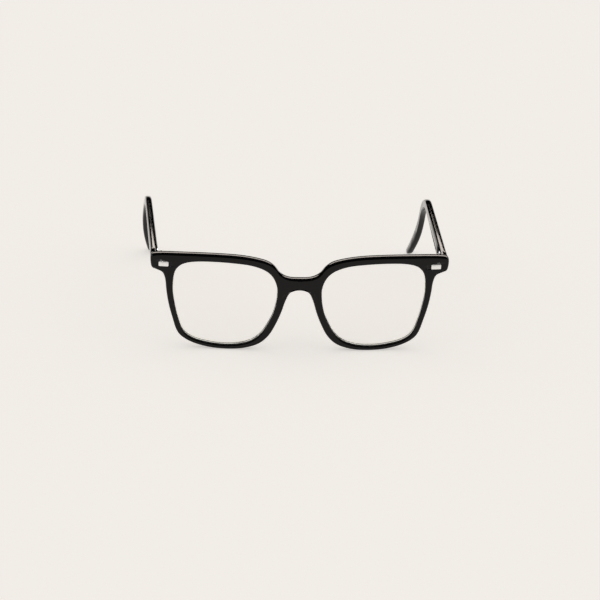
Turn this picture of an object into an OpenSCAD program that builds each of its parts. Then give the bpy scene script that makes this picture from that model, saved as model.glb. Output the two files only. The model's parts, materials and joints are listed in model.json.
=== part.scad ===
// Full-rim glasses with clear tinted-reflection lenses: a moulded front with a lens groove,
// riveted five-barrel hinges and two temples with core wires. Open at rest, standing on
// the lower rims and the temple tips. +Z is up, the front faces -Y, +X is the wearer's left.

/* [Overall] */

// Width over both endpieces, mm
front_w = 140; // [125:1:150]
// Height of the front from the lower rims to its flat top, mm
front_h = 46.7; // [40:0.1:54]
// Radius of the front's curve round the face, mm
wrap_r = 500; // [250:10:800]
// Thickness of the rims and the bridge, mm
rim_t = 4; // [3.2:0.1:5]
// Thickness of the endpieces, mm
end_t = 4.2; // [4:0.1:6]

/* [Lens] */

// Depth of the groove that holds the lens, mm
groove_depth = 0.7; // [0.4:0.05:1]
// Distance of the groove from the front face, mm
groove_y = 1.9; // [1.6:0.1:2.4]
// Thickness of the lens at its rim, mm
lens_t = 1.3; // [1:0.1:2]
// Rise of the lens face at its middle, mm
lens_rise = 1.3; // [0.4:0.1:2]
// Gap between the lens and its groove, mm
lens_gap = 0.05; // [0.02:0.01:0.1]

/* [Temple] */

// Length from the hinge axis to the tip, along the temple, mm
temple_len = 145; // [130:1:155]
// Height of the temple at the hinge, mm
temple_h = 6.9; // [6:0.1:9]
// Thickness of the temple at the hinge, mm
temple_t = 3.6; // [3.2:0.1:5]
// Height of the temple where it is narrowest, mm
neck_h = 4.1; // [3.4:0.1:6]
// Height of the paddle at the tip, mm
tip_h = 6; // [5:0.1:9]
// Length before the ear bend starts, mm
straight_len = 76; // [60:1:85]
// Length of the ear bend, measured along the temple, mm
bend_len = 36; // [25:1:50]
// Angle of the ear bend, degrees
bend_deg = 53; // [40:0.1:56]
// How far the tip curves in towards the head, mm
tip_inset = 4; // [0:0.5:8]
// Gap between the temple's end and the endpiece when open, mm
butt_gap = 0.15; // [0.1:0.05:0.4]
// Radius of the core wire, mm
wire_r = 0.7; // [0.5:0.05:0.9]

/* [Hinge] */

// Outer radius of the barrels, mm
barrel_r = 1.05; // [0.9:0.05:1.4]
// Gap between the barrels and the temple's inner face, mm
side_gap = 0.15; // [0.1:0.05:0.4]
// Gap between the barrels and the back of the endpiece, mm
back_gap = 0.05; // [0.05:0.05:0.4]
// Height of each of the five barrels, mm
barrel_h = 1.1; // [0.9:0.05:1.3]
// Radius of the hinge screw, mm
screw_r = 0.5; // [0.4:0.05:0.6]
// Radial running clearance on the screw, mm
run_gap = 0.03; // [0.02:0.01:0.08]
// Gap between neighbouring barrels, mm
barrel_gap = 0.04; // [0.02:0.01:0.1]
// Thickness of the hinge leaves, mm
leaf_t = 0.9; // [0.7:0.05:1.2]

/* [Metal trim] */

// Width of the metal plaque on each endpiece, mm
plaque_w = 4.6; // [3:0.1:7]
// Height of the plaque, mm
plaque_h = 2.3; // [1.5:0.05:4]
// Radius of the rivets behind the plaque, mm
rivet_r = 0.4; // [0.3:0.05:0.5]
// Gap round the fixed metal pieces, mm
seat_gap = 0.02; // [0.01:0.01:0.05]

/* [Hidden] */

fine = 48;
black = [0.08, 0.08, 0.09];
steel = [0.75, 0.76, 0.78];
clear = [0.55, 0.55, 0.8, 0.5];

// The outline of one half, seen from the front: distance from the middle and distance below
// the flat top. Each row pairs a point of the outer edge with one of the lens opening, from
// the underside of the bridge round the rim and the endpiece to the top of the bridge.
rows = [
    [[0, 16.8], [10.5, 19.0]], [[4.2, 17.9], [10.6, 20.8]], [[6.3, 21.7], [10.9, 23.2]],
    [[8.15, 27.6], [12, 28]], [[10.5, 33.5], [14.2, 33]], [[13.7, 39.4], [17, 37.8]],
    [[18, 43.5], [20.5, 41.2]], [[25, 46], [25.9, 43.4]], [[33.3, 46.7], [33.3, 44.3]],
    [[42.5, 46], [41.8, 43.6]], [[51, 43.5], [49.4, 41.6]], [[56.2, 39.7], [53.7, 38.4]],
    [[59.3, 31.6], [56.5, 31.6]], [[61.4, 23.9], [58.3, 24.3]], [[62.4, 17.8], [59.2, 18.6]],
    [[63, 13], [59.2, 14.2]], [[64.3, 9.9], [59, 11.6]], [[67.2, 8.5], [58.6, 9.7]],
    [[69.2, 7.6], [58, 8.2]], [[69.9, 5.4], [57, 6.9]], [[69.9, 1.8], [55.6, 5.7]],
    [[69.2, 1], [54.4, 5.1]], [[67, 0.5], [52.6, 4.5]], [[52, 0], [48.5, 3.85]],
    [[39, 0], [41, 3.65]], [[28, 0.5], [31.5, 4.05]], [[20, 1.7], [22.8, 5.05]],
    [[14.7, 3.3], [17, 7]], [[11.8, 5.5], [14.2, 8.9]], [[9.3, 8.6], [12.4, 11.1]],
    [[5.5, 10.6], [11.4, 13.1]], [[0, 11], [10.8, 15]]];
// The bridge's cut through the middle, with the nearest points of the opening.
middle_rows = [[[0, 13], [10.55, 16.2]], [[0, 15], [10.45, 17.6]]];
steps = 4;

last = len(rows) - 1;
nominal_w = 140;
nominal_h = 46.7;
wide = front_w / nominal_w;
tall = front_h / nominal_h;
function scaled(p) = [p[0] * wide, front_h - p[1] * tall];
outer_points = [for (r = rows) scaled(r[0])];
open_points = [for (r = concat(rows, middle_rows)) scaled(r[1])];

// A smooth curve through points, with the speed at each point set by its neighbours.
function chord(p, q) = sqrt(norm(q - p));
function speed(a, b, c) = ((b - a) * chord(b, c) / chord(a, b) + (c - b) * chord(a, b) / chord(b, c))
    / (chord(a, b) + chord(b, c));
function blend(p, v, q, w, d, t) = (2 * t^3 - 3 * t^2 + 1) * p + (t^3 - 2 * t^2 + t) * d * v
    + (3 * t^2 - 2 * t^3) * q + (t^3 - t^2) * d * w;
function mirrored(p) = [-p[0], p[1]];

function outer_near(i) = i < 0 ? mirrored(outer_points[-i])
    : i > last ? mirrored(outer_points[2 * last - i]) : outer_points[i];
function outer_speed(i) = speed(outer_near(i - 1), outer_near(i), outer_near(i + 1));
function open_near(i) = let (n = len(open_points)) open_points[(i + n) % n];
function open_speed(i) = speed(open_near(i - 1), open_near(i), open_near(i + 1));

outer_curve = [for (i = [0:last - 1], k = [0:steps - 1])
    blend(outer_points[i], outer_speed(i), outer_points[i + 1], outer_speed(i + 1),
          chord(outer_points[i], outer_points[i + 1]), k / steps)];
outer_edge = concat(outer_curve, [outer_points[last]], [for (r = middle_rows) scaled(r[0])]);
open_curve = [for (i = [0:last - 1], k = [0:steps - 1])
    blend(open_points[i], open_speed(i), open_points[i + 1], open_speed(i + 1),
          chord(open_points[i], open_points[i + 1]), k / steps)];
open_edge = concat(open_curve, [for (i = [last:len(open_points) - 1]) open_points[i]]);
sections = len(open_edge);
top_seam = steps * last;

function unit(v) = v / norm(v);
// Directions that lead into the rim, from the lens opening and from the outer edge.
function open_normal(i) = let (v = open_edge[(i + 1) % sections] - open_edge[(i + sections - 1) % sections])
    unit([v[1], -v[0]]);
function outer_normal(i) = i > top_seam ? [0, 0] : i == 0 ? [0, 1] : i == top_seam ? [0, -1]
    : let (v = outer_edge[i + 1] - outer_edge[i - 1]) unit([-v[1], v[0]]);

// The front follows the face: every point moves back with the square of its distance from the middle.
function wrap(x) = x^2 / (2 * wrap_r);
function ease(t) = let (u = max(0, min(1, t))) u^2 * (3 - 2 * u);
end_from = 52 * wide;
end_run = 10;
function thick(x) = rim_t + (end_t - rim_t) * ease((abs(x) - end_from) / end_run);
function back(x) = wrap(x) + thick(x);
function place(q, y) = [q[0], wrap(q[0]) + y, q[1]];

// The rim's section, from the front of the lens opening round the back to the outer edge:
// which edge a point is measured from, how deep into the rim, from which face, how far.
groove_half = lens_t / 2 + 0.15;
least_land = 0.1;
front_bevel = min(0.9, groove_y - groove_half - least_land);
back_bevel = min(0.55, rim_t - groove_y - groove_half - least_land);
front_round = 0.29 * front_bevel;
back_round = 0.29 * back_bevel;
rim_profile = [
    ["open", front_bevel, "front", 0], ["open", front_round, "front", front_round],
    ["open", 0, "front", front_bevel],
    ["open", 0, "front", groove_y - groove_half], ["open", groove_depth, "front", groove_y],
    ["open", 0, "front", groove_y + groove_half], ["open", 0, "back", back_bevel],
    ["open", back_bevel, "back", 0], ["outer", back_bevel, "back", 0],
    ["outer", back_round, "back", back_round], ["outer", 0, "back", back_bevel],
    ["outer", 0, "front", front_bevel], ["outer", front_round, "front", front_round],
    ["outer", front_bevel, "front", 0]];
profile_n = len(rim_profile);
first_outer = 8;

function rim_point(i, c) = let (
        q = c[0] == "open" ? open_edge[i] + c[1] * open_normal(i) : outer_edge[i] + c[1] * outer_normal(i))
    place(q, c[2] == "front" ? c[3] : thick(q[0]) - c[3]);
half_points = [for (i = [0:sections - 1], c = rim_profile) rim_point(i, c)];
half_n = len(half_points);
function at_seam(i) = i == 0 || i >= top_seam;
function rim_index(side, i, j) = let (s = i % sections, k = j % profile_n)
    s * profile_n + k + (side == 1 && !(at_seam(s) && k >= first_outer) ? half_n : 0);
function rim_quad(side, i, j) = let (a = rim_index(side, i, j), b = rim_index(side, i + 1, j),
        c = rim_index(side, i + 1, j + 1), d = rim_index(side, i, j + 1))
    side == 0 ? [[a, c, b], [a, d, c]] : [[a, b, c], [a, c, d]];

// Places on the endpiece, and how far the front is turned there. The temple's outer face is
// flush with the endpiece.
temple_x = front_w / 2 - 0.1;
inner_x = temple_x - temple_t;
axis_x = inner_x - barrel_r - side_gap;
plaque_in = 1.2;
plaque_x = axis_x - plaque_in;
plaque_z = front_h - 5.3 * tall;
hinge_z = front_h - 4.2 * tall;
end_turn = atan(plaque_x / wrap_r);
axis_y = back(axis_x) + barrel_r + back_gap;
hinge_low = hinge_z - 2.5 * barrel_h;
leaf_h = 5 * barrel_h + 0.2;
front_leaf_w = 7.4;
front_leaf_in = 0.4;
leaf_corner = 0.8;
leaf_sink = 0.05;

// The temple's run: straight, round the ear bend and down to the tip.
bend_r = bend_len / (bend_deg * PI / 180);
bend_end = straight_len + bend_len;
temple_drop = 1.3;
temple_z = front_h - temple_drop - temple_h / 2;
butt_y = back(inner_x) + butt_gap;
drop_len = temple_len - bend_end;

function turn_at(s) = bend_deg * max(0, min(1, (s - straight_len) / bend_len));
// Middle of the temple at a distance along it: [y from the axis, z from the hinge].
function path(s) = s <= straight_len ? [s, 0]
    : s <= bend_end ? [straight_len + bend_r * sin(turn_at(s)), -bend_r * (1 - cos(turn_at(s)))]
    : [straight_len + bend_r * sin(bend_deg) + (s - bend_end) * cos(bend_deg),
       -bend_r * (1 - cos(bend_deg)) - (s - bend_end) * sin(bend_deg)];
tip_round = tip_h / 2;
tip_start = temple_len - tip_round;
paddle_len = 6;
thinner = 0.6;
function height_at(s) = temple_h + (neck_h - temple_h) * ease(s / bend_end)
    + (tip_h - neck_h) * ease((s - bend_end) / (tip_start - bend_end - paddle_len));
function thick_at(s) = temple_t - thinner * ease(s / bend_end);
// The tip is cut at a slant: its upper edge runs on further than its lower one.
slant_from = bend_end + drop_len / 4;
tip_slant = 0.9;
function slant_at(s) = tip_slant * ease((s - slant_from) / (tip_start - slant_from));
function inset_at(s) = tip_inset * max(0, (s - bend_end) / drop_len)^2;
function tip_scale(s) = s <= tip_start ? 1 : sqrt(max(0, 1 - ((s - tip_start) / tip_round)^2));

// Half of the temple's section: height fraction, and depth from the outer face as a
// fraction of the thickness. The outer face has a low ridge along its middle.
temple_half = [[0, 0], [0.5, 0.045], [0.84, 0.1], [0.97, 0.24], [1, 0.42],
               [1, 0.66], [0.93, 0.87], [0.74, 1]];
temple_profile = concat(temple_half,
                        [for (i = [len(temple_half) - 1:-1:1]) [-temple_half[i][0], temple_half[i][1]]]);
ring_n = len(temple_profile);
first_ring = 6;
ring_at = concat([for (k = [0:5]) first_ring + k * (straight_len - first_ring) / 5],
                 [for (k = [1:12]) straight_len + k * bend_len / 12],
                 [for (k = [1:8]) bend_end + k * (tip_start - bend_end) / 8],
                 [for (a = [22, 42, 60, 74]) tip_start + tip_round * sin(a)]);

function ring_point(s, c) = let (m = path(s), a = turn_at(s), h = c[0] * height_at(s) / 2 * tip_scale(s),
        squeeze = 0.35 + 0.65 * tip_scale(s), on = h * slant_at(s),
        x = temple_x - inset_at(s) - thick_at(s) * (0.5 + (c[1] - 0.5) * squeeze))
    [x, axis_y + m[0] + h * sin(a) + on * cos(a), temple_z + m[1] + h * cos(a) - on * sin(a)];
function butt_point(c) = let (x = temple_x - temple_t * c[1])
    [x, back(x) + butt_gap, temple_z + c[0] * temple_h / 2];
temple_rings = concat([[for (c = temple_profile) butt_point(c)]],
                      [for (s = ring_at) [for (c = temple_profile) ring_point(s, c)]]);
// Depth of the open glasses, from the bridge's face to the rearmost point of the tips.
overall_d = max([for (r = temple_rings, p = r) p[1]]);

// A closed skin over rings of points, capped at both ends.
function flat_list(rings) = [for (r = rings, p = r) p];
module skin(rings) {
    n = len(rings[0]);
    m = len(rings);
    polyhedron(flat_list(rings), concat(
        [[for (j = [n - 1:-1:0]) j]],
        [for (i = [0:m - 2], j = [0:n - 1]) each let (k = (j + 1) % n)
            [[i * n + j, (i + 1) * n + k, (i + 1) * n + j], [i * n + j, i * n + k, (i + 1) * n + k]]],
        [[for (j = [0:n - 1]) (m - 1) * n + j]]), convexity = 6);
}

module on_side(side) {
    if (side == "right") mirror([1, 0, 0]) children();
    else children();
}

module centred() {
    translate([0, -overall_d / 2, 0]) children();
}

// Puts its children on the endpiece: X along the front, -Y out of its face, at this depth.
module on_endpiece(x, y, z) {
    translate([x, y, z]) rotate([0, 0, end_turn]) children();
}

module rounded_block(size, r) {
    translate([0, size[1] / 2, 0]) rotate([90, 0, 0]) linear_extrude(size[1]) {
        square([size[0] - 2 * r, size[2]], center = true);
        square([size[0], size[2] - 2 * r], center = true);
        for (sx = [-1, 1], sz = [-1, 1])
            translate([sx * (size[0] / 2 - r), sz * (size[2] / 2 - r)]) circle(r, $fn = fine);
    }
}

plaque_sink = 0.5;
plaque_proud = 0.35;
plaque_r = 0.5;
rivet_pitch = plaque_w - 4 * rivet_r;
module plaque_shape(gap) {
    on_endpiece(plaque_x, wrap(plaque_x), plaque_z)
        translate([0, (plaque_sink - plaque_proud) / 2, 0])
            rounded_block([plaque_w + 2 * gap, plaque_sink + plaque_proud, plaque_h + 2 * gap], plaque_r);
}

module rivet_shape(place, r) {
    depth = end_t - plaque_sink;
    on_endpiece(plaque_x, wrap(plaque_x), plaque_z)
        translate([place * rivet_pitch / 2, plaque_sink, 0])
            rotate([-90, 0, 0]) cylinder(h = depth - leaf_sink, r = r, $fn = fine);
}

module front_leaf_shape(gap) {
    on_endpiece(plaque_x, back(plaque_x), hinge_z)
        translate([-front_leaf_in, -leaf_t / 2 - leaf_sink, 0])
            rounded_block([front_leaf_w + 2 * gap, leaf_t, leaf_h + 2 * gap], leaf_corner);
}

module front_half_cuts() {
    plaque_shape(seat_gap);
    front_leaf_shape(seat_gap);
    on_endpiece(plaque_x, back(plaque_x), hinge_z)
        translate([-front_leaf_in, 0, 0])
            rounded_block([front_leaf_w + 2 * seat_gap, leaf_t / 2, leaf_h + 2 * seat_gap], leaf_corner);
    for (place = [-1, 1]) rivet_shape(place, rivet_r + seat_gap);
}

module front_frame() {
    color(black) centred() difference() {
        polyhedron(concat(half_points, [for (p = half_points) [-p[0], p[1], p[2]]]),
            [for (side = [0, 1], i = [0:sections - 1], j = [0:profile_n - 1])
                if (!(at_seam(i) && at_seam((i + 1) % sections) && j >= first_outer && j < profile_n - 1))
                    each rim_quad(side, i, j)], convexity = 10);
        for (side = ["left", "right"]) on_side(side) front_half_cuts();
    }
}

// The lens is a shell of rings, each one the opening drawn in towards the lens's middle.
lens_mid = [for (k = [0, 1]) (max([for (p = open_edge) p[k]]) + min([for (p = open_edge) p[k]])) / 2];
lens_rings = 3;
function lens_ring(f, y) = [for (i = [0:sections - 1])
    let (q = lens_mid + f * (open_edge[i] - lens_gap * open_normal(i) - lens_mid))
        place(q, y - lens_rise * (1 - f^2))];
function lens_ridge() = [for (i = [0:sections - 1])
    place(open_edge[i] + (groove_depth - lens_gap * 1.6) * open_normal(i), groove_y)];
module lens(side) {
    front_y = groove_y - lens_t / 2;
    back_y = groove_y + lens_t / 2;
    fractions = [for (k = [lens_rings:-1:1]) k / lens_rings];
    turned = [for (f = fractions) lens_ring(f, back_y)];
    rings = concat([for (k = [lens_rings - 1:-1:0]) lens_ring(fractions[k], front_y)],
                   [lens_ridge()], turned);
    color(clear) centred() on_side(side) skin(rings);
}

// The nose pad is built up on the back of the nasal rim, highest in the middle of its length.
pad_from = steps + 1;
pad_to = 5 * steps;
pad_rise = 4.2;
pad_half = [[1, 0], [0.95, 0.35], [0.78, 0.75], [0.5, 1], [0.22, 0.75], [0.05, 0.35], [0, 0]];
function pad_point(i, c) = let (
        t = (i - pad_from) / (pad_to - pad_from),
        swell = sin(180 * t)^0.6,
        from = outer_edge[i] + 0.7 * outer_normal(i),
        to = open_edge[i] + 0.7 * open_normal(i),
        q = from + c[0] * (to - from),
        flare = 0.9 * swell * c[1] * -outer_normal(i))
    place(q + flare, thick(q[0]) + 0.02 + pad_rise * max(swell, 0.12) * c[1]);
module nose_pad(side) {
    rings = [for (i = [pad_from:pad_to]) [for (c = pad_half) pad_point(i, c)]];
    color(black) centred() on_side(side) skin(rings);
}

// Barrels of the front leaf are the first, third and fifth; the temple leaf has the others.
function barrel_low(k) = hinge_low + k * barrel_h + barrel_gap / 2;
module barrel(k, bore) {
    difference() {
        union() {
            translate([axis_x, axis_y, barrel_low(k)])
                cylinder(h = barrel_h - barrel_gap, r = barrel_r, $fn = fine);
            translate([0, 0, barrel_low(k)]) linear_extrude(barrel_h - barrel_gap) children();
        }
        translate([axis_x, axis_y, barrel_low(k) - 1]) cylinder(h = barrel_h + 2, r = bore, $fn = fine);
    }
}

web_w = 1.5;
web_l = barrel_r + back_gap + leaf_t / 2;
module front_hinge(side) {
    color(steel) centred() on_side(side) difference() {
        union() {
            front_leaf_shape(0);
            for (k = [0, 2, 4]) barrel(k, screw_r + seat_gap)
                translate([axis_x - web_w / 2, axis_y - web_l]) square([web_w, web_l]);
        }
        for (place = [-1, 1]) rivet_shape(place, rivet_r + seat_gap);
    }
}

head_r = screw_r + 0.4;
head_h = 0.6;
head_edge = 0.2;
slot_w = 0.28;
module hinge_screw(side) {
    low = barrel_low(0) + 0.1;
    high = barrel_low(4) + barrel_h - barrel_gap;
    color(steel) centred() on_side(side) translate([axis_x, axis_y, 0]) difference() {
        union() {
            translate([0, 0, low]) cylinder(h = high - low + 0.1, r = screw_r, $fn = fine);
            translate([0, 0, high]) cylinder(h = head_h - head_edge, r = head_r, $fn = fine);
            translate([0, 0, high + head_h - head_edge])
                cylinder(h = head_edge, r1 = head_r, r2 = head_r - head_edge, $fn = fine);
        }
        translate([-head_r - 1, -slot_w / 2, high + head_h / 2]) cube([2 * head_r + 2, slot_w, 1]);
    }
}

module front_plaque(side) {
    color(steel) centred() on_side(side) plaque_shape(0);
}

module rivet(side, place) {
    color(steel) centred() on_side(side) rivet_shape(place, rivet_r);
}

temple_leaf_l = 8;
temple_leaf_h = 3 * barrel_h + 0.9;
leaf_start = 1.2;
leaf_y = butt_y + leaf_start;
block_wall = 0.3;
block_l = 2.2;
block_h = 2 * wire_r + 1;
module temple_leaf_shape(gap, proud) {
    z = temple_leaf_h + 2 * gap;
    block_z = block_h + 2 * gap;
    block_x = wire_x(leaf_end_s) + wire_r + block_wall - inner_x;
    translate([inner_x - proud, leaf_y - gap, hinge_z - z / 2])
        cube([leaf_t + gap + proud, temple_leaf_l + 2 * gap, z]);
    translate([inner_x - proud, leaf_y + temple_leaf_l - block_l - gap, temple_z - block_z / 2])
        cube([block_x + gap + proud, block_l + 2 * gap, block_z]);
}

// The core wire runs from the block at the end of the hinge leaf to the paddle.
leaf_end_s = leaf_y + temple_leaf_l - axis_y;
wire_end_s = tip_start - paddle_len;
wire_sides = 12;
wire_at = concat([leaf_end_s + 2 * seat_gap, straight_len / 2],
                 [for (k = [0:8]) straight_len + k * bend_len / 8],
                 [for (k = [1:3]) bend_end + k * (wire_end_s - bend_end) / 3]);
function wire_x(s) = temple_x - inset_at(s) - thick_at(s) * 0.54;
function wire_ring(s, r) = let (m = path(s), a = turn_at(s))
    [for (k = [0:wire_sides - 1]) let (t = 360 * k / wire_sides, h = r * cos(t))
        [wire_x(s) - r * sin(t), axis_y + m[0] + h * sin(a), temple_z + m[1] + h * cos(a)]];
module wire_shape(r, early) {
    skin([for (k = [0:len(wire_at) - 1]) wire_ring(wire_at[k] - (k == 0 ? early : 0), r)]);
}

module temple(side) {
    color(black) centred() on_side(side) difference() {
        skin(temple_rings);
        temple_leaf_shape(seat_gap, 1);
        wire_shape(wire_r + seat_gap, 1);
    }
}

temple_web_l = 1.6;
module temple_hinge(side) {
    color(steel) centred() on_side(side) {
        temple_leaf_shape(0, 0);
        for (k = [1, 3]) barrel(k, screw_r + run_gap)
            translate([axis_x, leaf_y]) square([inner_x - axis_x + leaf_t / 2, temple_web_l]);
    }
}

module core_wire(side) {
    color(steel) centred() on_side(side) wire_shape(wire_r, 0);
}

front_frame();
lens("left");  // left_lens
lens("right");  // right_lens
nose_pad("left");  // left_nose_pad
nose_pad("right");  // right_nose_pad
front_hinge("left");  // left_front_hinge
front_hinge("right");  // right_front_hinge
hinge_screw("left");  // left_hinge_screw
hinge_screw("right");  // right_hinge_screw
front_plaque("left");  // left_front_plaque
front_plaque("right");  // right_front_plaque
rivet("left", -1);  // left_inner_rivet
rivet("left", 1);  // left_outer_rivet
rivet("right", -1);  // right_inner_rivet
rivet("right", 1);  // right_outer_rivet
temple("left");  // left_temple
temple("right");  // right_temple
temple_hinge("left");  // left_temple_hinge
temple_hinge("right");  // right_temple_hinge
core_wire("left");  // left_core_wire
core_wire("right");  // right_core_wire
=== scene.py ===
import math
import bpy
import numpy
from mathutils import Matrix, Vector
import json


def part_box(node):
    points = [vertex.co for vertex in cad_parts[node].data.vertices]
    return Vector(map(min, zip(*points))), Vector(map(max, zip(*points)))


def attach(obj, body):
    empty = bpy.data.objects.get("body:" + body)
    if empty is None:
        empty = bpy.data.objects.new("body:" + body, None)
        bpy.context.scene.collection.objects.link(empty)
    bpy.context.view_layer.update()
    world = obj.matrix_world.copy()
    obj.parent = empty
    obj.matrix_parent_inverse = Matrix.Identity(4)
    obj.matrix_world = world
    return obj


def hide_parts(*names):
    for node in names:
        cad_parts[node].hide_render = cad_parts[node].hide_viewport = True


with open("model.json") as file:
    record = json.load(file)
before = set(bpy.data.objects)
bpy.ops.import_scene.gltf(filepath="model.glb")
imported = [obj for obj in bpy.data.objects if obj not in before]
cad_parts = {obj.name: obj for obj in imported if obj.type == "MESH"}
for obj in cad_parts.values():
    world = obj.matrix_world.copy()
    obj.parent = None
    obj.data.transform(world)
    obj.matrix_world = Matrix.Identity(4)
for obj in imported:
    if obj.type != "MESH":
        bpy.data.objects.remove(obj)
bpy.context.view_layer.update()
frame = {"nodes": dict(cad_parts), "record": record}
mm = 0.001


# Small helpers

def deselectAll():
    if bpy.context.object and bpy.context.object.mode != "OBJECT":
        bpy.ops.object.mode_set(mode="OBJECT")
    bpy.ops.object.select_all(action="DESELECT")


def pick(obj):
    deselectAll()
    obj.select_set(True)
    bpy.context.view_layer.objects.active = obj


def applyAll(obj):
    pick(obj)
    for name in [m.name for m in obj.modifiers]:
        bpy.ops.object.modifier_apply(modifier=name)


def dress(obj, material):
    obj.data.materials.clear()
    obj.data.materials.append(material)


def bodyOf(node):
    for body, nodes in frame["record"]["behaviour"]["bodies"].items():
        if node in nodes:
            return body


joining = {"reach": 0.002 * mm, "faceAngle": 20, "shapeAngle": 40, "bevelSteps": 2, "bevelFrom": 50}


# A smooth copy of a CAD node: the loose triangles are joined, then shaded by angle
def smoothCopy(node, name, angle, bevelWidth):
    source = frame["nodes"][node]
    copy = source.copy()
    copy.data = source.data.copy()
    copy.name = name
    for key in [k for k in copy.keys() if k.startswith("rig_")]:
        del copy[key]
    bpy.context.scene.collection.objects.link(copy)
    pick(copy)
    bpy.ops.object.mode_set(mode="EDIT")
    bpy.ops.mesh.select_all(action="SELECT")
    bpy.ops.mesh.remove_doubles(threshold=joining["reach"])
    bpy.ops.mesh.tris_convert_to_quads(face_threshold=math.radians(joining["faceAngle"]),
                                       shape_threshold=math.radians(joining["shapeAngle"]))
    bpy.ops.mesh.select_all(action="DESELECT")
    bpy.ops.object.mode_set(mode="OBJECT")
    if bevelWidth:
        bevel = copy.modifiers.new("edge", "BEVEL")
        bevel.width = bevelWidth
        bevel.segments = joining["bevelSteps"]
        bevel.limit_method = "ANGLE"
        bevel.angle_limit = math.radians(joining["bevelFrom"])
        applyAll(copy)
    pick(copy)
    bpy.ops.object.shade_smooth_by_angle(angle=math.radians(angle))
    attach(copy, bodyOf(node))
    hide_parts(node)
    return copy


# The lens faces get the normals of one even curve, so that nothing seen through them is broken up
lensFaces = {"squareness": 0.93}


def evenFaces(lens):
    mesh = lens.data
    normals = [Vector(corner.vector) for corner in mesh.corner_normals]
    for side in (1, -1):
        flat = [face for face in mesh.polygons if face.normal.y * side > lensFaces["squareness"]]
        corners = [corner for face in flat for corner in face.loop_indices]
        points = numpy.array([mesh.vertices[mesh.loops[corner].vertex_index].co for corner in corners]) / mm
        middle = (points.min(axis=0) + points.max(axis=0)) / 2
        x, y, z = (points - middle).T
        terms = numpy.stack([x * 0 + 1, x, z, x * x, x * z, z * z], axis=1)
        fit = numpy.linalg.lstsq(terms, y, rcond=None)[0]
        slopeX = fit[1] + 2 * fit[3] * x + fit[4] * z
        slopeZ = fit[2] + fit[4] * x + 2 * fit[5] * z
        for place, corner in enumerate(corners):
            normals[corner] = side * Vector((-slopeX[place], 1, -slopeZ[place])).normalized()
    mesh.normals_split_custom_set([tuple(normal) for normal in normals])


# Shader building

def nodeIn(tree, kind, **values):
    made = tree.nodes.new(kind)
    for key, value in values.items():
        setattr(made, key, value)
    return made


def newGroup(name, inputs, outputs):
    tree = bpy.data.node_groups.new(name, "ShaderNodeTree")
    for label, kind, value in inputs:
        made = tree.interface.new_socket(name=label, in_out="INPUT", socket_type=kind)
        if value is not None:
            made.default_value = value
    for label, kind in outputs:
        tree.interface.new_socket(name=label, in_out="OUTPUT", socket_type=kind)
    return tree, tree.nodes.new("NodeGroupInput"), tree.nodes.new("NodeGroupOutput")


# Handling wear: broad polish changes, fine hairlines and a little dust, all in object space
handling = {
    "cloudScale": 55, "cloudDetail": 4, "cloudFrom": 0.35, "cloudTo": 0.7,
    "lineScale": (260, 2600, 1900), "lineTurn": (0.2, 0.5, 0.3), "lineDetail": 2,
    "lineFrom": 0.62, "lineTo": 0.75,
    "speckScale": 700, "speckFrom": 0.085, "speckTo": 0.04,
    "roughening": 0.3, "bump": 0.25,
}


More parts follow.
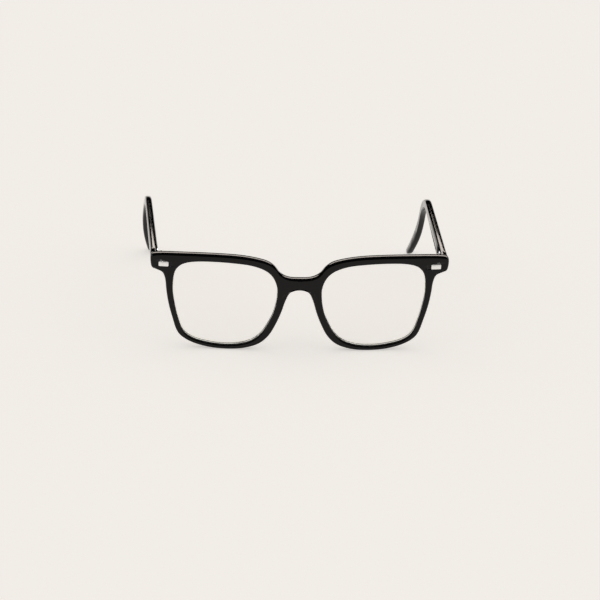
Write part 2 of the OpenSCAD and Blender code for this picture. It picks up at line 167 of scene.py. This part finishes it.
def makeHandlingGroup():
    tree, start, end = newGroup(
        "handlingWear",
        [("Position", "NodeSocketVector", None), ("Low", "NodeSocketFloat", 0.08),
         ("High", "NodeSocketFloat", 0.2), ("Hairlines", "NodeSocketFloat", 0.5),
         ("Dust", "NodeSocketFloat", 0.3)],
        [("Roughness", "NodeSocketFloat"), ("Height", "NodeSocketFloat"), ("Mask", "NodeSocketFloat")])
    link = tree.links.new
    cloud = nodeIn(tree, "ShaderNodeTexNoise")
    cloud.inputs["Scale"].default_value = handling["cloudScale"]
    cloud.inputs["Detail"].default_value = handling["cloudDetail"]
    link(start.outputs["Position"], cloud.inputs["Vector"])
    stretch = nodeIn(tree, "ShaderNodeMapping")
    stretch.inputs["Scale"].default_value = handling["lineScale"]
    stretch.inputs["Rotation"].default_value = handling["lineTurn"]
    link(start.outputs["Position"], stretch.inputs["Vector"])
    lines = nodeIn(tree, "ShaderNodeTexNoise")
    lines.inputs["Scale"].default_value = 1
    lines.inputs["Detail"].default_value = handling["lineDetail"]
    link(stretch.outputs["Vector"], lines.inputs["Vector"])
    lineCut = nodeIn(tree, "ShaderNodeMapRange")
    lineCut.inputs["From Min"].default_value = handling["lineFrom"]
    lineCut.inputs["From Max"].default_value = handling["lineTo"]
    link(lines.outputs["Fac"], lineCut.inputs["Value"])
    lineScale = nodeIn(tree, "ShaderNodeMath", operation="MULTIPLY")
    link(lineCut.outputs["Result"], lineScale.inputs[0])
    link(start.outputs["Hairlines"], lineScale.inputs[1])
    specks = nodeIn(tree, "ShaderNodeTexVoronoi")
    specks.inputs["Scale"].default_value = handling["speckScale"]
    link(start.outputs["Position"], specks.inputs["Vector"])
    speckCut = nodeIn(tree, "ShaderNodeMapRange")
    speckCut.inputs["From Min"].default_value = handling["speckFrom"]
    speckCut.inputs["From Max"].default_value = handling["speckTo"]
    link(specks.outputs["Distance"], speckCut.inputs["Value"])
    speckScale = nodeIn(tree, "ShaderNodeMath", operation="MULTIPLY")
    link(speckCut.outputs["Result"], speckScale.inputs[0])
    link(start.outputs["Dust"], speckScale.inputs[1])
    mask = nodeIn(tree, "ShaderNodeMath", operation="MAXIMUM")
    link(lineScale.outputs[0], mask.inputs[0])
    link(speckScale.outputs[0], mask.inputs[1])
    blend = nodeIn(tree, "ShaderNodeMapRange")
    blend.inputs["From Min"].default_value = handling["cloudFrom"]
    blend.inputs["From Max"].default_value = handling["cloudTo"]
    link(cloud.outputs["Fac"], blend.inputs["Value"])
    link(start.outputs["Low"], blend.inputs["To Min"])
    link(start.outputs["High"], blend.inputs["To Max"])
    rough = nodeIn(tree, "ShaderNodeMath", operation="MULTIPLY_ADD")
    link(mask.outputs[0], rough.inputs[0])
    rough.inputs[1].default_value = handling["roughening"]
    link(blend.outputs["Result"], rough.inputs[2])
    link(rough.outputs[0], end.inputs["Roughness"])
    link(mask.outputs[0], end.inputs["Height"])
    link(mask.outputs[0], end.inputs["Mask"])
    return tree


handlingWear = makeHandlingGroup()


def newMaterial(name):
    material = bpy.data.materials.new(name)
    material.use_nodes = True
    tree = material.node_tree
    shader = tree.nodes["Principled BSDF"]
    place = tree.nodes.new("ShaderNodeTexCoord")
    return material, tree, shader, place.outputs["Object"]


def addWear(tree, shader, place, look):
    wear = nodeIn(tree, "ShaderNodeGroup", node_tree=handlingWear)
    tree.links.new(place, wear.inputs["Position"])
    wear.inputs["Low"].default_value = look["low"]
    wear.inputs["High"].default_value = look["high"]
    wear.inputs["Hairlines"].default_value = look["hairlines"]
    wear.inputs["Dust"].default_value = look["dust"]
    tree.links.new(wear.outputs["Roughness"], shader.inputs["Roughness"])
    bump = nodeIn(tree, "ShaderNodeBump")
    bump.inputs["Strength"].default_value = handling["bump"]
    bump.inputs["Distance"].default_value = look["depth"]
    tree.links.new(wear.outputs["Height"], bump.inputs["Height"])
    tree.links.new(bump.outputs["Normal"], shader.inputs["Normal"])
    return wear


def colourBy(tree, shader, factor, dark, light):
    mix = nodeIn(tree, "ShaderNodeMix", data_type="RGBA")
    mix.inputs["A"].default_value = (*dark, 1)
    mix.inputs["B"].default_value = (*light, 1)
    tree.links.new(factor, mix.inputs["Factor"])
    tree.links.new(mix.outputs["Result"], shader.inputs["Base Color"])
    return mix


def makeGlossBlack():
    look = {"dark": (0.0032, 0.003, 0.0033), "light": (0.0048, 0.0046, 0.0049), "specular": 0.2,
            "low": 0.05, "high": 0.09, "hairlines": 0.08, "dust": 0.0, "depth": 0.006 * mm}
    material, tree, shader, place = newMaterial("glossBlackPlastic")
    wear = addWear(tree, shader, place, look)
    colourBy(tree, shader, wear.outputs["Mask"], look["dark"], look["light"])
    shader.inputs["Specular IOR Level"].default_value = look["specular"]
    return material


def makeLens():
    look = {"coating": (0.5, 0.42, 1.0), "ior": 1.6, "shadow": (0.97, 0.97, 0.98),
            "through": (0.985, 0.985, 0.975), "clean": (0.995, 0.995, 0.99),
            "smudgeScale": 60, "smudgeDetail": 3}
    material, tree, shader, place = newMaterial("coatedLens")
    smudge = nodeIn(tree, "ShaderNodeTexNoise")
    smudge.inputs["Scale"].default_value = look["smudgeScale"]
    smudge.inputs["Detail"].default_value = look["smudgeDetail"]
    tree.links.new(place, smudge.inputs["Vector"])
    colourBy(tree, shader, smudge.outputs["Fac"], look["through"], look["clean"])
    shader.inputs["Roughness"].default_value = 0.0
    shader.inputs["Transmission Weight"].default_value = 1.0
    shader.inputs["IOR"].default_value = look["ior"]
    shader.inputs["Specular Tint"].default_value = (*look["coating"], 1)
    clear = nodeIn(tree, "ShaderNodeBsdfTransparent")
    clear.inputs["Color"].default_value = (*look["shadow"], 1)
    path = nodeIn(tree, "ShaderNodeLightPath")
    mix = nodeIn(tree, "ShaderNodeMixShader")
    out = tree.nodes["Material Output"]
    tree.links.new(path.outputs["Is Shadow Ray"], mix.inputs["Fac"])
    tree.links.new(shader.outputs["BSDF"], mix.inputs[1])
    tree.links.new(clear.outputs["BSDF"], mix.inputs[2])
    tree.links.new(mix.outputs["Shader"], out.inputs["Surface"])
    return material


steelGrain = {"detail": 3, "roughening": 0.12}


def makeSteel(name, look):
    material, tree, shader, place = newMaterial(name)
    shader.inputs["Metallic"].default_value = 1.0
    grain = nodeIn(tree, "ShaderNodeMapping")
    grain.inputs["Scale"].default_value = look["brush"]
    tree.links.new(place, grain.inputs["Vector"])
    streaks = nodeIn(tree, "ShaderNodeTexNoise")
    streaks.inputs["Scale"].default_value = 1
    streaks.inputs["Detail"].default_value = steelGrain["detail"]
    tree.links.new(grain.outputs["Vector"], streaks.inputs["Vector"])
    colourBy(tree, shader, streaks.outputs["Fac"], look["dark"], look["light"])
    wear = addWear(tree, shader, place, look)
    add = nodeIn(tree, "ShaderNodeMath", operation="MULTIPLY_ADD")
    tree.links.new(streaks.outputs["Fac"], add.inputs[0])
    add.inputs[1].default_value = steelGrain["roughening"]
    tree.links.new(wear.outputs["Roughness"], add.inputs[2])
    tree.links.new(add.outputs[0], shader.inputs["Roughness"])
    return material


glossBlack = makeGlossBlack()
coatedLens = makeLens()
metalWear = {"hairlines": 0.4, "dust": 0.15, "depth": 0.01 * mm}
hingeSteel = makeSteel("hingeSteel", {
    **metalWear, "dark": (0.42, 0.42, 0.44), "light": (0.66, 0.66, 0.68),
    "low": 0.18, "high": 0.3, "brush": (1500, 1500, 9000)})
wireSteel = makeSteel("wireSteel", {
    **metalWear, "dark": (0.4, 0.4, 0.42), "light": (0.6, 0.6, 0.62),
    "low": 0.2, "high": 0.3, "brush": (9000, 900, 9000)})
plaqueSilver = makeSteel("plaqueSilver", {
    **metalWear, "dark": (0.8, 0.8, 0.8), "light": (0.95, 0.95, 0.94),
    "low": 0.16, "high": 0.26, "brush": (900, 900, 12000)})
print("materials made")


# The glasses: each kind of piece with its name, material, shading angle and edge bevel
kinds = {
    "front_frame": ("frontRims", glossBlack, 32, 0.0),
    "lens": ("Lens", coatedLens, 40, 0.0),
    "nose_pad": ("NosePad", glossBlack, 60, 0.0),
    "front_hinge": ("FrontHinge", hingeSteel, 35, 0.06 * mm),
    "hinge_screw": ("HingeScrew", hingeSteel, 35, 0.04 * mm),
    "front_plaque": ("FrontPlaque", plaqueSilver, 35, 0.12 * mm),
    "inner_rivet": ("InnerRivet", hingeSteel, 35, 0.0),
    "outer_rivet": ("OuterRivet", hingeSteel, 35, 0.0),
    "temple_hinge": ("TempleHinge", hingeSteel, 35, 0.06 * mm),
    "temple": ("Temple", glossBlack, 38, 0.0),
    "core_wire": ("CoreWire", wireSteel, 40, 0.0),
}
shown = {}
for node in sorted(frame["nodes"]):
    side, _, rest = node.partition("_")
    kind = rest if side in ("left", "right") else node
    label, material, angle, bevelWidth = kinds[kind]
    name = side + label if kind != "front_frame" else label
    shown[node] = smoothCopy(node, name, angle, bevelWidth)
    dress(shown[node], material)
    if kind == "lens":
        evenFaces(shown[node])
        shown[node].visible_diffuse = False
print("pieces made:", len(shown))


# Floor: a wide round table top of pale card, which glows a little so that it stays even
studio = {"radius": 9.0, "sides": 96, "ring": 0.5, "card": (0.885, 0.86, 0.83), "fleck": 0.01,
          "fleckScale": 900, "glow": 0.565, "roughness": 0.9}


def makeFloor():
    deselectAll()
    bpy.ops.mesh.primitive_circle_add(vertices=studio["sides"], radius=studio["radius"], fill_type="NGON")
    floor = bpy.context.object
    floor.name = "paleFloor"
    bpy.ops.object.mode_set(mode="EDIT")
    bpy.ops.mesh.select_all(action="SELECT")
    bpy.ops.mesh.inset(thickness=studio["radius"] * studio["ring"])
    bpy.ops.object.mode_set(mode="OBJECT")
    return floor


def makeCard():
    material, tree, shader, place = newMaterial("paleCard")
    noise = nodeIn(tree, "ShaderNodeTexNoise")
    noise.inputs["Scale"].default_value = studio["fleckScale"]
    tree.links.new(place, noise.inputs["Vector"])
    fleck = tuple(level - studio["fleck"] for level in studio["card"])
    mix = colourBy(tree, shader, noise.outputs["Fac"], fleck, studio["card"])
    tree.links.new(mix.outputs["Result"], shader.inputs["Emission Color"])
    shader.inputs["Emission Strength"].default_value = studio["glow"]
    shader.inputs["Roughness"].default_value = studio["roughness"]
    shader.inputs["Specular IOR Level"].default_value = 0.0
    return material


floor = makeFloor()
dress(floor, makeCard())


# Light: the room lights evenly, and the softboxes show only as reflections
def softbox(name, place, aim, size, power, colour):
    data = bpy.data.lights.new(name, "AREA")
    data.shape = "RECTANGLE"
    data.size, data.size_y = size
    data.energy = power
    data.color = colour
    lamp = bpy.data.objects.new(name, data)
    bpy.context.scene.collection.objects.link(lamp)
    lamp.location = place
    lamp.rotation_mode = "QUATERNION"
    lamp.rotation_quaternion = (Vector(aim) - Vector(place)).to_track_quat("-Z", "Y")
    lamp.visible_diffuse = False
    lamp.visible_camera = False
    lamp.visible_transmission = False


warm, white, cool = (1.0, 0.9, 0.82), (1.0, 1.0, 1.0), (0.93, 0.96, 1.0)
softboxes = [
    {"name": "topStrip", "place": (0.0, -0.36, 1.0), "aim": (0, 0, 0.03),
     "size": (1.4, 0.16), "power": 16, "colour": white},
    {"name": "backPanel", "place": (0.1, 1.3, 0.75), "aim": (0, 0, 0.03),
     "size": (1.6, 0.5), "power": 13, "colour": warm},
    {"name": "leftPanel", "place": (-1.1, -0.2, 0.55), "aim": (0, 0, 0.02),
     "size": (0.4, 0.8), "power": 5, "colour": cool},
    {"name": "rightPanel", "place": (1.1, -0.1, 0.5), "aim": (0, 0, 0.02),
     "size": (0.4, 0.8), "power": 6, "colour": white},
]
for row in softboxes:
    softbox(**row)

# The room is brighter where the camera sees it, so that the horizon meets the floor
room = {"colour": (0.88, 0.85, 0.81), "strength": 0.5, "seenExtra": 0.5}
world = bpy.data.worlds.new("paleRoom")
bpy.context.scene.world = world
world.use_nodes = True
sky = world.node_tree.nodes["Background"]
sky.inputs["Color"].default_value = (*room["colour"], 1)
seen = nodeIn(world.node_tree, "ShaderNodeLightPath")
either = nodeIn(world.node_tree, "ShaderNodeMath", operation="MAXIMUM")
world.node_tree.links.new(seen.outputs["Is Camera Ray"], either.inputs[0])
world.node_tree.links.new(seen.outputs["Is Transmission Ray"], either.inputs[1])
strength = nodeIn(world.node_tree, "ShaderNodeMath", operation="MULTIPLY_ADD")
world.node_tree.links.new(either.outputs[0], strength.inputs[0])
strength.inputs[1].default_value = room["seenExtra"]
strength.inputs[2].default_value = room["strength"]
world.node_tree.links.new(strength.outputs[0], sky.inputs["Strength"])
world.cycles_visibility.glossy = False
bpy.context.scene.view_settings.view_transform = "Standard"


# Camera at the viewing angle of the folded pair
view = {"azimuth": -4.5, "elevation": 20.5, "roll": 2.2, "distance": 2.0, "width": 0.2812,
        "across": 0.4 * mm, "up": 0.5 * mm, "behindFace": 2 * mm, "belowTop": 22.5 * mm,
        "sensor": 36, "near": 0.01}
frontLow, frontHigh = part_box("front_frame")
target = Vector((0.0, frontLow.y + view["behindFace"], frontHigh.z - view["belowTop"]))
azimuth, elevation = math.radians(view["azimuth"]), math.radians(view["elevation"])
back = Vector((math.sin(azimuth) * math.cos(elevation), -math.cos(azimuth) * math.cos(elevation),
               math.sin(elevation)))
cameraData = bpy.data.cameras.new("camera")
camera = bpy.data.objects.new("camera", cameraData)
bpy.context.scene.collection.objects.link(camera)
turn = (-back).to_track_quat("-Z", "Y").to_matrix().to_4x4()
turn = turn @ Matrix.Rotation(math.radians(view["roll"]), 4, "Z")
shift = turn @ Vector((view["across"], view["up"], 0.0))
camera.location = target + shift + view["distance"] * back
camera.rotation_euler = turn.to_euler()
cameraData.sensor_width = view["sensor"]
cameraData.lens = view["sensor"] * view["distance"] / view["width"]
cameraData.clip_start = view["near"]
cameraData.dof.use_dof = False
bpy.context.scene.camera = camera
print("camera and light placed")
